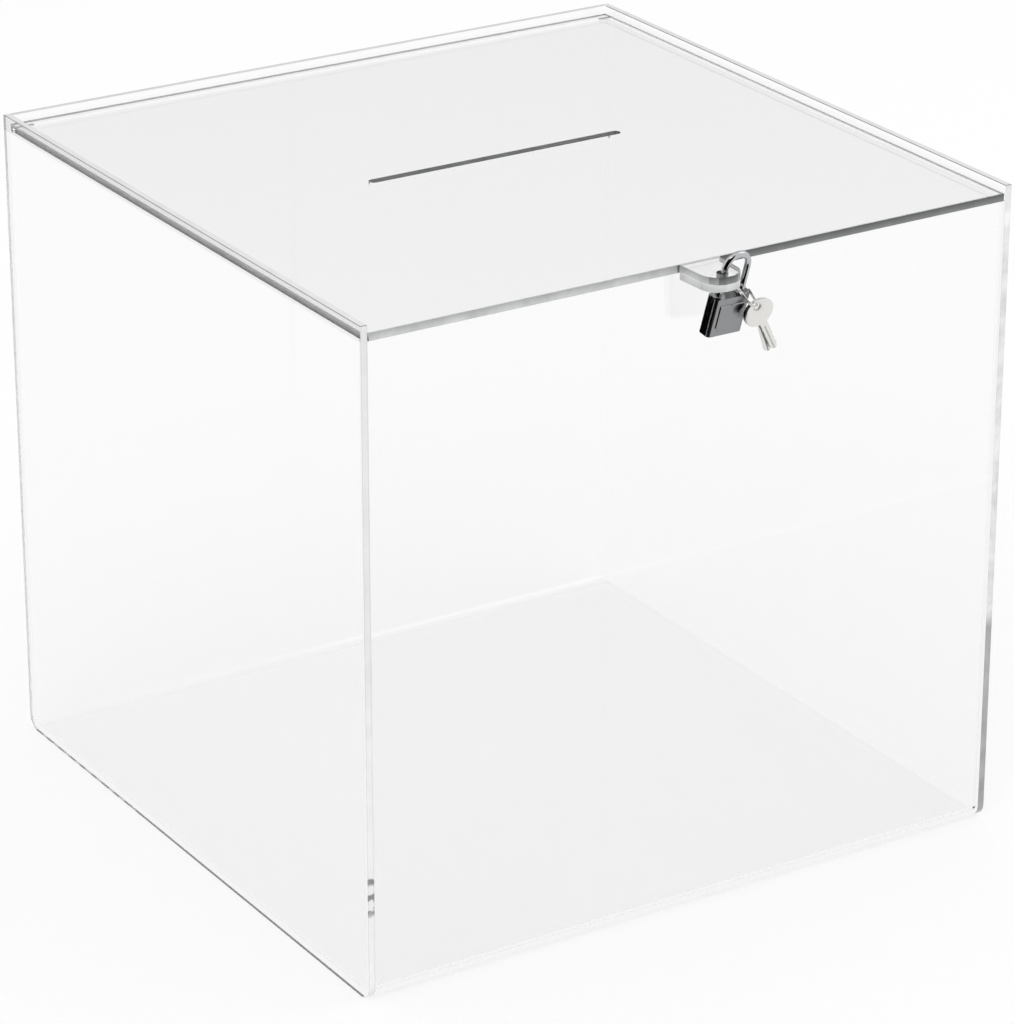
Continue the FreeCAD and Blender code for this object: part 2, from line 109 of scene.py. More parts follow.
def edge_finish(
    name, foot_hex, head_hex, foot_z, head_z, marks_depth=0.12, border_shade=1.0, clearness=0.0, broken=None
):
    finish, tree = new_finish(name)
    position = add_node(tree, "ShaderNodeTexCoord")
    place = add_node(tree, "ShaderNodeSeparateXYZ", {}, {"Vector": position.outputs["Object"]})
    climb = add_node(
        tree, "ShaderNodeMapRange", {"From Min": foot_z, "From Max": head_z}, {"Value": place.outputs["Z"]}
    )
    painted_piped_tone = add_node(tree, "ShaderNodeMix", {"data_type": "RGBA"}, {"Factor": climb.outputs["Result"]})
    painted_piped_tone.inputs[6].default_value = linear(foot_hex)
    painted_piped_tone.inputs[7].default_value = linear(head_hex)
    saw_marks = add_node(
        tree, "ShaderNodeTexNoise", {"Scale": 1 / SAW_MARK, "Detail": 2.0},
        {"Vector": position.outputs["Object"]}
    )
    marks = add_node(tree, "ShaderNodeMapRange", {
        "From Min": MARK_RANGE[0], "From Max": MARK_RANGE[1],
        "To Min": 1 - marks_depth, "To Max": 1 + marks_depth
    }, {"Value": saw_marks.outputs["Fac"]})
    marked = add_node(tree, "ShaderNodeVectorMath", {"operation": "SCALE"}, {
        0: painted_piped_tone.outputs[2], "Scale": marks.outputs["Result"]
    })
    # A thin line of painted shade runs along each border of a panel's cut edge, where its sharp corners read
    # darker.
    outward = add_node(tree, "ShaderNodeMath", {"operation": "ABSOLUTE"}, {0: place.outputs["X"]})
    from_middle = add_node(tree, "ShaderNodeMath", {"operation": "SUBTRACT"}, {0: outward.outputs[0]})
    from_middle.inputs[1].default_value = (PANEL_IN_X + PANEL_OUT_X) / 2
    either_way = add_node(tree, "ShaderNodeMath", {"operation": "ABSOLUTE"}, {0: from_middle.outputs[0]})
    painted_border_shade = add_node(tree, "ShaderNodeMapRange", {
        "From Min": BORDER_START, "From Max": BORDER_FULL, "To Min": 1.0, "To Max": border_shade
    }, {"Value": either_way.outputs[0]})
    bordered = add_node(tree, "ShaderNodeVectorMath", {"operation": "SCALE"}, {
        0: marked.outputs["Vector"], "Scale": painted_border_shade.outputs["Result"]
    })
    finished = bordered.outputs["Vector"]
    if broken:
        # The edge's painted tone is broken into short pieces with ragged ends: along one axis, round a place
        # on it, for a half length, at one pitch, turning it to a second painted tone.
        axis, middle, half, pitch, other_hex = broken
        from_spot = add_node(tree, "ShaderNodeMath", {"operation": "SUBTRACT"}, {0: place.outputs[axis]})
        from_spot.inputs[1].default_value = middle
        spot_size = add_node(tree, "ShaderNodeMath", {"operation": "ABSOLUTE"}, {0: from_spot.outputs[0]})
        near_spot = add_node(tree, "ShaderNodeMapRange", {
            "From Min": half * 0.7, "From Max": half, "To Min": 1.0, "To Max": 0.0
        }, {"Value": spot_size.outputs[0]})
        turns = add_node(tree, "ShaderNodeMath", {"operation": "MULTIPLY"}, {0: from_spot.outputs[0]})
        turns.inputs[1].default_value = 2 * math.pi / pitch
        ragged = add_node(
            tree, "ShaderNodeTexNoise", {"Scale": 1 / RAGGED_GRAIN, "Detail": 2.0},
            {"Vector": position.outputs["Object"]}
        )
        uneven = add_node(tree, "ShaderNodeMath", {"operation": "MULTIPLY_ADD"}, {
            0: ragged.outputs["Fac"], 2: turns.outputs[0]
        })
        uneven.inputs[1].default_value = RAGGED_SHIFT
        wave = add_node(tree, "ShaderNodeMath", {"operation": "SINE"}, {0: uneven.outputs[0]})
        pieces = add_node(
            tree, "ShaderNodeMapRange", {"From Min": BROKEN_RANGE[0], "From Max": BROKEN_RANGE[1]},
            {"Value": wave.outputs[0]}
        )
        broken_here = add_node(tree, "ShaderNodeMath", {"operation": "MULTIPLY"}, {
            0: pieces.outputs["Result"], 1: near_spot.outputs["Result"]
        })
        parted = add_node(tree, "ShaderNodeMix", {"data_type": "RGBA"}, {
            "Factor": broken_here.outputs[0], 6: finished
        })
        parted.inputs[7].default_value = linear(other_hex)
        finished = parted.outputs[2]
    shader = add_node(tree, "ShaderNodeBsdfPrincipled", {
        "Roughness": 0.12,
        "IOR": ACRYLIC_IOR,
        "Transmission Weight": clearness,
    }, {"Base Color": finished})
    add_node(tree, "ShaderNodeOutputMaterial", {}, {"Surface": shader.outputs[0]})
    return finish


# The edges' tones are painted light and shade. The rims are painted pale, with three dark pieces low on the
# left front edge, and the chamfers along the panels' rims a mid grey. The right front edge is painted dark
# near its foot and the left back edge near its head. The left panel's foot is painted dark, broken with pale
# pieces near the back, and the lock tab's sides a light grey.
LOCK_TAB_TOP = 0.36635
LOCK_TAB_UNDER = 0.3625
EDGE_HEAD_Z = 0.37
edge_pale = edge_finish("acrylic_edge_pale", "#F0F0F0", "#E4E4E4", 0.0, EDGE_HEAD_Z, 0.04, 0.86)
edge_left = edge_finish(
    "acrylic_edge_left", "#F0F0F0", "#E0E0E0", 0.0, EDGE_HEAD_Z, 0.04, 0.86,
    broken=("Z", 0.062, 0.014, 0.0092, "#868888"),
)
edge_right = edge_finish("acrylic_edge_right", "#A6A7A7", "#E4E4E4", 0.118, 0.128, 0.16, 0.93)
edge_back = edge_finish("acrylic_edge_back", "#E0E0E0", "#6E7070", 0.325, 0.345, 0.08, clearness=0.55)
edge_line = edge_finish("acrylic_edge_chamfer", "#8C8E8E", "#8C8E8E", 0.0, EDGE_HEAD_Z)
edge_foot = edge_finish(
    "acrylic_edge_foot_painted_shade", "#2C2E2E", "#2C2E2E", 0.0, EDGE_HEAD_Z,
    broken=("Y", 0.125, 0.075, 0.0138, "#F2F2F2"),
)
edge_tab = edge_finish("acrylic_edge_tab", "#C4C5C5", "#D4D5D5", LOCK_TAB_UNDER, LOCK_TAB_TOP)
wall_finishes = [acrylic, edge_pale, edge_line, edge_foot, edge_right, edge_tab, edge_back, edge_left]

SAME_PLACE = 1e-6
CORNER_FROM = math.radians(60)


def edges_round(bm, corners):
    pairs = zip(corners, corners[1:] + corners[:1])
    return [bm.edges.get((a, b)) or bm.edges.new((a, b)) for a, b in pairs]


def only_verts(geometry):
    return [part for part in geometry if isinstance(part, bmesh.types.BMVert)]


bm = bmesh.new()
outside = [(-WALL_Y, RIM_Z), (-WALL_Y, FRONT_TOP_Z), (-WALL_Y, 0), (WALL_Y, 0), (WALL_Y, RIM_Z)]
inside = [
    (WALL_Y - SHEET, RIM_Z), (WALL_Y - SHEET, SHEET), (SHEET - WALL_Y, SHEET), (SHEET - WALL_Y, FRONT_TOP_Z)
]
left_out = [bm.verts.new((-PANEL_IN_X, y, z)) for y, z in outside]
left_in = [bm.verts.new((-PANEL_IN_X, y, z)) for y, z in inside]
drawn = bmesh.ops.extrude_edge_only(bm, edges=edges_round(bm, left_out[1:] + left_in))["geom"]
bmesh.ops.translate(bm, vec=(2 * PANEL_IN_X, 0, 0), verts=only_verts(drawn))


def corner_at(x, y, z):
    return min(bm.verts, key=lambda v: (v.co - Vector((x, y, z))).length)


bm.verts.new((PANEL_IN_X, -WALL_Y, RIM_Z))
for side in (-1, 1):
    out = [corner_at(side * PANEL_IN_X, y, z) for y, z in outside]
    inn = [corner_at(side * PANEL_IN_X, y, z) for y, z in inside]
    bm.faces.new([out[0], out[1], inn[3], inn[2], inn[1], inn[0]])
    drawn = bmesh.ops.extrude_edge_only(bm, edges=edges_round(bm, out + [inn[0]]))["geom"]
    panel_verts = only_verts(drawn)
    panel_edges = [
        part for part in drawn
        if isinstance(part, bmesh.types.BMEdge)
        and part.verts[0] in panel_verts and part.verts[1] in panel_verts
    ]
    bmesh.ops.translate(bm, vec=(side * SHEET, 0, 0), verts=panel_verts)
    bmesh.ops.contextual_create(bm, geom=panel_edges)

for radius, y, z in ((BEND_OUT_R, WALL_Y, 0), (BEND_IN_R, WALL_Y - SHEET, SHEET)):
    bend_edges = [
        edge for edge in bm.edges
        if all(abs(abs(v.co.y) - y) < SAME_PLACE and abs(v.co.z - z) < SAME_PLACE for v in edge.verts)
        and edge.verts[0].co.y * edge.verts[1].co.y > 0
    ]
    bmesh.ops.bevel(
        bm, geom=bend_edges, offset=radius, offset_type="OFFSET", affect="EDGES",
        segments=BEND_STEPS, profile=0.5, material=-1,
    )
bmesh.ops.recalc_face_normals(bm, faces=bm.faces)
rim_corners = [
    edge for edge in bm.edges
    if all(abs(v.co.z - RIM_Z) < SAME_PLACE for v in edge.verts) and edge.calc_face_angle(0) > CORNER_FROM
]
bmesh.ops.bevel(
    bm, geom=rim_corners, offset=RIM_CHAMFER, offset_type="OFFSET", affect="EDGES",
    segments=1, profile=0.5, material=-1,
)

SHARP_FROM = math.radians(32)


def finish_piece(name, bm, finishes, smooth_angle=SHARP_FROM):
    mesh = bpy.data.meshes.new(name)
    bm.to_mesh(mesh)
    bm.free()
    for finish in finishes:
        mesh.materials.append(finish)
    mesh.shade_smooth()
    mesh.set_sharp_from_angle(angle=smooth_angle)
    piece = bpy.data.objects.new(name, mesh)
    bpy.context.collection.objects.link(piece)
    return piece


box_walls = finish_piece("box_walls", bm, wall_finishes)

TAB_ROOT_HALF = 0.012
TAB_TIP_HALF = 0.0108
TAB_OUT = 0.0275
TAB_TIP_R = 0.0098
TAB_TIP_STEPS = 12
TAB_HOLE_OUT = 0.0205
TAB_HOLE_R = 0.0031
TAB_IN_WALL = 0.001


def tab_outline(bm, z, root_y):
    # Plan outline of a tab, which tapers a little from its root to its tip.
    tip_y = -WALL_Y - TAB_OUT
    ends = [(TAB_ROOT_HALF, root_y), (TAB_TIP_HALF, tip_y), (-TAB_TIP_HALF, tip_y), (-TAB_ROOT_HALF, root_y)]
    return [bm.verts.new((x, y, z)) for x, y in ends]


def tab_hole(bm, z):
    place = Matrix.Translation((0, -WALL_Y - TAB_HOLE_OUT, z))
    bmesh.ops.create_circle(bm, radius=TAB_HOLE_R, segments=40, matrix=place)


def round_corners(bm, corners, radius, steps):
    bmesh.ops.bevel(
        bm, geom=corners, offset=radius, offset_type="OFFSET", affect="VERTICES",
        segments=steps, profile=0.5, material=-1,
    )


def fill_and_thicken(bm, thickness):
    # Fills a drawn outline round its holes and gives it the thickness of the sheet.
    bmesh.ops.triangle_fill(bm, use_beauty=True, edges=bm.edges)
    raised = bmesh.ops.extrude_face_region(bm, geom=list(bm.faces))["geom"]
    bmesh.ops.translate(bm, vec=thickness, verts=only_verts(raised))
    bmesh.ops.recalc_face_normals(bm, faces=bm.faces)


def cut_or_join(piece, other, operation):
    change = piece.modifiers.new("change", "BOOLEAN")
    change.operation = operation
    change.solver = "EXACT"
    change.object = other
    shaped = bpy.data.meshes.new_from_object(piece.evaluated_get(bpy.context.evaluated_depsgraph_get()))
    piece.modifiers.clear()
    piece.data = shaped
    bpy.data.objects.remove(other)


bm = bmesh.new()
corners = tab_outline(bm, LOCK_TAB_UNDER, -WALL_Y + TAB_IN_WALL)
edges_round(bm, corners)
round_corners(bm, corners[1:3], TAB_TIP_R, TAB_TIP_STEPS)
tab_hole(bm, LOCK_TAB_UNDER)
fill_and_thicken(bm, (0, 0, LOCK_TAB_TOP - LOCK_TAB_UNDER))
cut_or_join(box_walls, finish_piece("lock_tab_plate", bm, wall_finishes), "UNION")

# Each side panel has a bore near its back corner for a hinge pin.
PIN_Y = 0.1845
PIN_Z = 0.3685
PIN_BORE_R = 0.00105
PANEL_BORE_START = 0.19
BORE_END = 0.21


def rod_cutter(radius, start, end, segments=32):
    bm = bmesh.new()
    along = Vector(end) - Vector(start)
    bmesh.ops.create_cone(
        bm, cap_ends=True, segments=segments, radius1=radius, radius2=radius, depth=along.length
    )
    turn = along.to_track_quat("Z", "Y").to_matrix().to_4x4()
    place = Matrix.Translation((Vector(start) + Vector(end)) / 2) @ turn
    bmesh.ops.transform(bm, matrix=place, verts=bm.verts)
    return finish_piece("cutter", bm, [])


def bore_for_pins(piece, start_x):
    for side in (-1, 1):
        start, end = (side * start_x, PIN_Y, PIN_Z), (side * BORE_END, PIN_Y, PIN_Z)
        cut_or_join(piece, rod_cutter(PIN_BORE_R, start, end), "DIFFERENCE")


bore_for_pins(box_walls, PANEL_BORE_START)

# Each face takes its finish by where it lies and which way it looks: its normal is near 1 or -1 along the
# way that it looks, and near 0.7 on a chamfer or half way round a bend.
JUST_PAST = 1e-5
UNDERSIDE_Z = 1e-4
for face in box_walls.data.polygons:
    up, centre = face.normal.z, face.center
    in_panel = abs(centre.x) > PANEL_IN_X + JUST_PAST
    finish = acrylic
    if centre.y < -WALL_Y - JUST_PAST:
        if abs(up) < 0.5:
            finish = edge_tab
    elif centre.z > RIM_Z - RIM_CHAMFER and 0.3 < up < 0.9:
        if in_panel:
            finish = edge_line
    elif up > 0.9 and centre.z > FRONT_TOP_Z - JUST_PAST:
        finish = edge_pale
    elif in_panel and centre.z < UNDERSIDE_Z and centre.x < 0:
        finish = edge_foot
    elif in_panel and face.normal.y < -0.5:
        finish = edge_left if centre.x < 0 else edge_right
    elif in_panel and centre.x < 0 and face.normal.y > 0.02 and centre.y > WALL_Y - BEND_OUT_R:
        finish = edge_back
    face.material_index = wall_finishes.index(finish)


def flat_faces_stay_flat(piece):
    piece.data.set_sharp_from_angle(angle=SHARP_FROM)
    even = piece.modifiers.new("even", "WEIGHTED_NORMAL")
    even.keep_sharp = True
    even.weight = 100
    even.thresh = 0.0


flat_faces_stay_flat(box_walls)
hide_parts("body_shell", "left_panel", "right_panel", "lock_tab")
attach(box_walls, "box")


# Lid: a flat sheet of the same acrylic, cut by laser with its slot and its tab in one outline. It lies on
# the front wall between the side panels and turns on two steel pins at the back.
LID_HALF_X = 0.1952
LID_BACK_Y = 0.1904
LID_UNDER_Z = 0.3665
LID_TOP_Z = 0.3705
LID_BORE_START = 0.1869
SLOT_HALF_LONG = 0.080
SLOT_HALF_WIDE = 0.003
SLOT_END_R = SLOT_HALF_WIDE * 0.98
TAB_ROOT_R = 0.0015

bm = bmesh.new()
tab_corners = tab_outline(bm, LID_UNDER_Z, -WALL_Y)
plate_plan = (
    (-LID_HALF_X, -WALL_Y), (-LID_HALF_X, LID_BACK_Y), (LID_HALF_X, LID_BACK_Y), (LID_HALF_X, -WALL_Y)
)
plate_corners = [bm.verts.new((x, y, LID_UNDER_Z)) for x, y in plate_plan]
edges_round(bm, tab_corners + plate_corners)
slot_ends = ((-1, -1), (1, -1), (1, 1), (-1, 1))
slot_corners = [bm.verts.new((x * SLOT_HALF_LONG, y * SLOT_HALF_WIDE, LID_UNDER_Z)) for x, y in slot_ends]
edges_round(bm, slot_corners)
round_corners(bm, tab_corners[1:3], TAB_TIP_R, TAB_TIP_STEPS)
round_corners(bm, [tab_corners[0], tab_corners[3]], TAB_ROOT_R, 5)
round_corners(bm, slot_corners, SLOT_END_R, 8)
tab_hole(bm, LID_UNDER_Z)
fill_and_thicken(bm, (0, 0, LID_TOP_Z - LID_UNDER_Z))

# The laser leaves the lid's edges clear and bright, and their colours are painted with the dark of the room
# that they catch: nearly black along the foot of the left edge, dark at the right half of the front and at
# the top of the slot's far wall.
LID_EDGE_MARGIN = 0.0002
SLOT_TONE_FOOT = LID_TOP_Z - 0.0036
SLOT_TONE_HEAD = LID_TOP_Z - 0.0020
lid_left = edge_finish(
    "lid_edge_left", "#0C0C0C", "#DADBDB", LID_UNDER_Z + LID_EDGE_MARGIN, LID_TOP_Z - LID_EDGE_MARGIN
)
lid_front = edge_finish("lid_edge_front", "#C8C9C9", "#A4A6A6", LID_UNDER_Z, LID_TOP_Z)
lid_front_right = edge_finish("lid_edge_front_right", "#7E8080", "#4E5050", LID_UNDER_Z, LID_TOP_Z)
lid_front_turn = edge_finish("lid_edge_front_turn", "#A4A6A6", "#7A7C7C", LID_UNDER_Z, LID_TOP_Z)
lid_far = edge_finish("lid_edge_far", "#B4B6B6", "#C2C4C4", LID_UNDER_Z, LID_TOP_Z)
lid_slot = edge_finish("lid_edge_slot", "#E4E5E5", "#727474", SLOT_TONE_FOOT, SLOT_TONE_HEAD)
lid_finishes = [acrylic, lid_left, lid_front, lid_front_right, lid_far, lid_slot, lid_front_turn]
lid_plate = finish_piece("lid_plate", bm, lid_finishes)
bore_for_pins(lid_plate, LID_BORE_START)

for face in lid_plate.data.polygons:
    normal, centre = face.normal, face.center
    in_slot = abs(centre.y) < SLOT_HALF_WIDE + JUST_PAST and abs(centre.x) < SLOT_HALF_LONG + JUST_PAST
    if abs(normal.z) > 0.5:
        finish = acrylic
    elif in_slot:
        # The near wall of the slot stays clear, and its right end takes the darkest painted shade.
        if normal.y > 0.2:
            finish = acrylic
        else:
            finish = lid_front_right if normal.x < -0.3 else lid_slot
    elif centre.y < -WALL_Y + JUST_PAST:
        if abs(centre.x) > TAB_ROOT_HALF + TAB_ROOT_R:
            finish = lid_front_right if centre.x > 0 else lid_front
        elif normal.y < -0.85:
            finish = lid_front_right
        else:
            finish = lid_front_turn if normal.y < -0.55 else lid_front
    else:
        finish = lid_left if normal.x < -0.5 else lid_far
    face.material_index = lid_finishes.index(finish)
flat_faces_stay_flat(lid_plate)
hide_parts("lid")
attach(lid_plate, "lid")


# Hinge pins: short lengths of drawn steel wire with their cut corners broken. One is glued into each side
# panel near its back, and the lid turns on the two of them.
HINGE_PIN_R = 0.001
HINGE_PIN_LONG = 0.0124
HINGE_PIN_X = 0.1936
HINGE_PIN_CORNER = 0.00015


def metal_finish(name, colour, patch, detail, smoothest, roughest, relief=None):
    # Metal whose gloss changes from patch to patch, and whose face may be uneven: the relief gives the size
    # of the unevenness, its detail, its strength and its height.
    finish, tree = new_finish(name)
    position = add_node(tree, "ShaderNodeTexCoord")
    patches = add_node(
        tree, "ShaderNodeTexNoise", {"Scale": 1 / patch, "Detail": detail},
        {"Vector": position.outputs["Object"]}
    )
    gloss = add_node(
        tree, "ShaderNodeMapRange", {"To Min": smoothest, "To Max": roughest},
        {"Value": patches.outputs["Fac"]}
    )
    shader = add_node(tree, "ShaderNodeBsdfPrincipled", {
        "Base Color": linear(colour),
        "Metallic": 1.0,
    }, {"Roughness": gloss.outputs["Result"]})
    if relief:
        wide, fineness, strength, height = relief
        waves = add_node(
            tree, "ShaderNodeTexNoise", {"Scale": 1 / wide, "Detail": fineness},
            {"Vector": position.outputs["Object"]}
        )
        uneven = add_node(
            tree, "ShaderNodeBump", {"Strength": strength, "Distance": height},
            {"Height": waves.outputs["Fac"]}
        )
        tree.links.new(uneven.outputs["Normal"], shader.inputs["Normal"])
    add_node(tree, "ShaderNodeOutputMaterial", {}, {"Surface": shader.outputs[0]})
    return finish


# Drawn steel gives a grey, half bright line. Its draw marks of a few hundredths of a millimetre are too
# fine to show, so they are drawn 1.1 mm wide.
DRAW_MARK = 0.00111
drawn_steel = metal_finish("drawn_steel_wire", "#8E9092", DRAW_MARK, 3.0, 0.22, 0.4)


def cut_wire(name, radius, length, corner, place):
    # A straight length of wire with its cut corners broken.
    bm = bmesh.new()
    bmesh.ops.create_cone(bm, cap_ends=True, segments=24, radius1=radius, radius2=radius, depth=length)
    cut_ends = [edge for edge in bm.edges if abs(edge.verts[0].co.z - edge.verts[1].co.z) < SAME_PLACE]
    bmesh.ops.bevel(
        bm, geom=cut_ends, offset=corner, offset_type="OFFSET", affect="EDGES",
        segments=2, profile=0.5, material=-1,
    )
    bmesh.ops.transform(bm, matrix=place, verts=bm.verts)
    return finish_piece(name, bm, [drawn_steel])


for side, name in ((-1, "left"), (1, "right")):
    pin_place = Matrix.Translation((side * HINGE_PIN_X, PIN_Y, PIN_Z)) @ Matrix.Rotation(math.pi / 2, 4, "Y")
    pin = cut_wire(name + "_pin_wire", HINGE_PIN_R, HINGE_PIN_LONG, HINGE_PIN_CORNER, pin_place)
    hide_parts(name + "_hinge_pin")
    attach(pin, "box")


# Padlock: case of die-cast zinc, plated dark and bright, with a raised field on its front, and a top plate
# with a collar round each leg of the shackle. It hangs in the tabs' hole, a little turned and leaning.
HOLE_Z = 0.3665
HOLE_TO_CASE = 0.0096
LOCK_TURNED = math.radians(7.0)
LOCK_LEAN_SIDE = math.radians(3.5)
LOCK_LEAN_FORWARD = math.radians(14.0)
lock_turn = (
    Matrix.Rotation(LOCK_TURNED, 4, "Z")
    @ Matrix.Rotation(LOCK_LEAN_SIDE, 4, "Y")
    @ Matrix.Rotation(LOCK_LEAN_FORWARD, 4, "X")
)
lock_place = (
    Matrix.Translation((0, -WALL_Y - TAB_HOLE_OUT, HOLE_Z))
    @ lock_turn
    @ Matrix.Translation((0, 0, -HOLE_TO_CASE))
)

# Plated zinc gives a dark mirror, softened by the casting under it. The casting's grain of about a tenth of
# a millimetre is too fine to show, so it is drawn 1.4 mm wide.
CAST_GRAIN = 0.00143
plated_zinc = metal_finish(
    "plated_die_cast_zinc", "#909193", CAST_GRAIN, 3.0, 0.16, 0.3, relief=(CAST_GRAIN, 3.0, 0.08, 0.0001)
)


def dress(node_name, finish):
    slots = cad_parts[node_name].data.materials
    slots.clear()
    slots.append(finish)


for node_name in ("padlock_case", "case_cap", "chamber_plugs"):
    dress(node_name, plated_zinc)


# Shackle: hardened steel rod bent round and chrome plated. The plating gives its round back long dark and
# bright bands, which handling has dulled in spots of 2 mm.
HANDLED_SPOT = 0.002
chromed_steel = metal_finish("chrome_plated_steel", "#B9BABC", HANDLED_SPOT, 2.0, 0.04, 0.14)
dress("shackle", chromed_steel)


# Key ring: spring steel wire wound twice round and flattened against itself, nickel plated. It hangs on the
# long leg of the shackle.
RING_R = 0.00755
RING_WIRE_R = 0.00042
RING_PITCH = 0.00084
RING_TURNS = 2
RING_STEPS = 128
RING_INSIDE = 0.0004
RING_HEADING = math.radians(-36.87)
RING_SLOPE = math.radians(49.6)
RING_PLAY = 0.00055
LONG_LEG_X = 0.0154
LONG_LEG_R = 0.00175
RING_ON_LEG_Z = 0.0017

# Nickel gives a pale, faintly warm metal. It is rubbed in spots of 1.25 mm, and stamped sheet under it
# isn't quite flat, in waves of 4.5 mm.
RUBBED_SPOT = 0.00125
STAMPED_WAVE = 0.00455
nickel = metal_finish(
    "nickel_plate", "#E2E1DE", RUBBED_SPOT, 3.0, 0.14, 0.3, relief=(STAMPED_WAVE, 1.0, 0.35, 0.0006)
)

level = Vector((math.cos(RING_HEADING), math.sin(RING_HEADING), 0))
down = level * math.cos(RING_SLOPE) - Vector((0, 0, math.sin(RING_SLOPE)))
across = Vector((-level.y, level.x, 0))
ring_normal = down.cross(across)
crossing = lock_place @ Vector((LONG_LEG_X, 0, RING_ON_LEG_Z))
leg = (lock_turn @ Vector((0, 0, 1))).normalized()
leg_half_cut = LONG_LEG_R / abs(leg.dot(ring_normal))
ring_centre = crossing + down * (RING_R - RING_INSIDE - leg_half_cut - RING_PLAY)
ring_place = Matrix((
    (across.x, -down.x, ring_normal.x, ring_centre.x),
    (across.y, -down.y, ring_normal.y, ring_centre.y),
    (across.z, -down.z, ring_normal.z, ring_centre.z),
    (0, 0, 0, 1),
))
bm = bmesh.new()
bmesh.ops.create_circle(
    bm, cap_ends=True, segments=10, radius=RING_WIRE_R,
    matrix=Matrix.Translation((RING_R, 0, -RING_PITCH)) @ Matrix.Rotation(math.pi / 2, 4, "X"),
)
bmesh.ops.spin(
    bm, geom=list(bm.faces) + list(bm.edges) + list(bm.verts), axis=(0, 0, 1), cent=(0, 0, 0),
    dvec=(0, 0, RING_TURNS * RING_PITCH / RING_STEPS), angle=RING_TURNS * 2 * math.pi, steps=RING_STEPS,
    use_merge=False,
)
bmesh.ops.transform(bm, matrix=ring_place, verts=bm.verts)
bmesh.ops.recalc_face_normals(bm, faces=bm.faces)
split_ring = finish_piece("split_ring", bm, [nickel], math.radians(50))
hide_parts("key_ring")
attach(split_ring, "ring")


# Keys: stamped from nickel silver sheet, with an oval bow, a flat blade with cuts along one edge and a
# milled groove along its side. Two alike hang on the ring.
KEY_HALF = 0.00065
KEY_BOW_WIDE = 0.0090
KEY_BOW_HIGH = 0.0068
KEY_HOLE_R = 0.0023
KEY_HOLE_UP = 0.0041
KEY_BLADE_LONG = 0.017
KEY_WIDE = 0.0022
KEY_POINT = 0.0016
KEY_CUT = 0.0009
KEY_CUT_HALF = 0.0008
KEY_CUTS_UP = (0.0046, 0.0076)
KEY_TIP_CUT = ((0.00178, 0.00118), (KEY_WIDE - KEY_CUT, 0.0016), (KEY_WIDE, 0.0024))
KEY_EDGE_R = 0.00015
KEY_END = -KEY_HOLE_UP - KEY_BOW_HIGH - KEY_BLADE_LONG
KEY_GROOVE_R = 0.00044
KEY_GROOVE_X = -0.0004
KEY_GROOVE_FOOT = KEY_END - 0.001
KEY_GROOVE_HEAD = KEY_END + 0.0150
KEYS_HALF_APART = 0.0012
KEY_LEANS = (math.radians(26.0), math.radians(17.0))

bow_foot_z = -KEY_HOLE_UP - math.sqrt(KEY_BOW_WIDE ** 2 - KEY_WIDE ** 2)
bow_turn = 2 * math.asin(KEY_WIDE / KEY_BOW_WIDE) - 2 * math.pi
spread = math.asin(KEYS_HALF_APART / RING_R)
for order, (side, lean) in enumerate(zip((-1, 1), KEY_LEANS)):
    bm = bmesh.new()
    bow_start = bm.verts.new((KEY_WIDE, -KEY_HALF, bow_foot_z))
    bmesh.ops.spin(
        bm, geom=[bow_start], axis=(0, 1, 0), cent=(0, -KEY_HALF, -KEY_HOLE_UP),
        angle=bow_turn, steps=56, use_merge=False,
    )
    bmesh.ops.scale(
        bm, vec=(1, 1, KEY_BOW_HIGH / KEY_BOW_WIDE), space=Matrix.Translation((0, 0, KEY_HOLE_UP)),
        verts=bm.verts
    )
    bow_foot = [v for v in bm.verts if len(v.link_edges) == 1]
    left_foot, right_foot = sorted(bow_foot, key=lambda v: v.co.x)
    blade = [
        (-KEY_WIDE, KEY_END + KEY_POINT), (KEY_POINT - KEY_WIDE, KEY_END), (KEY_WIDE - KEY_POINT, KEY_END)
    ]
    blade += [(x, KEY_END + above_end) for x, above_end in KEY_TIP_CUT]
    for above_end in KEY_CUTS_UP:
        cut_z = KEY_END + above_end
        blade += [
            (KEY_WIDE, cut_z - KEY_CUT_HALF), (KEY_WIDE - KEY_CUT, cut_z), (KEY_WIDE, cut_z + KEY_CUT_HALF)
        ]
    outline = [left_foot] + [bm.verts.new((x, -KEY_HALF, z)) for x, z in blade] + [right_foot]
    for a, b in zip(outline, outline[1:]):
        bm.edges.new((a, b))
    bmesh.ops.create_circle(
        bm, radius=KEY_HOLE_R, segments=28,
        matrix=Matrix.Translation((0, -KEY_HALF, 0)) @ Matrix.Rotation(math.pi / 2, 4, "X"),
    )
    fill_and_thicken(bm, (0, 2 * KEY_HALF, 0))
    rims = [
        e for e in bm.edges
        if e.calc_face_angle(0) > CORNER_FROM and abs(e.verts[0].co.y - e.verts[1].co.y) < SAME_PLACE
    ]
    bmesh.ops.bevel(
        bm, geom=rims, offset=KEY_EDGE_R, offset_type="OFFSET", affect="EDGES",
        segments=2, profile=0.5, material=-1,
    )
    key_piece = finish_piece("flat_key_%d" % (order + 1), bm, [nickel])
    for face_y in (-KEY_HALF, KEY_HALF):
        groove = rod_cutter(
            KEY_GROOVE_R, (KEY_GROOVE_X, face_y, KEY_GROOVE_FOOT),
            (KEY_GROOVE_X, face_y, KEY_GROOVE_HEAD), 12
        )
        cut_or_join(key_piece, groove, "DIFFERENCE")
    key_piece.data.set_sharp_from_angle(angle=SHARP_FROM)
    hang_point = (
        ring_centre + down * (RING_R * math.cos(spread)) + across * (side * RING_R * math.sin(spread))
    )
    key_piece.data.transform(Matrix.Translation(hang_point) @ Matrix.Rotation(-lean, 4, "Y"))
    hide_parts("key_%d" % (order + 1))
    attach(key_piece, "key_%d" % (order + 1))


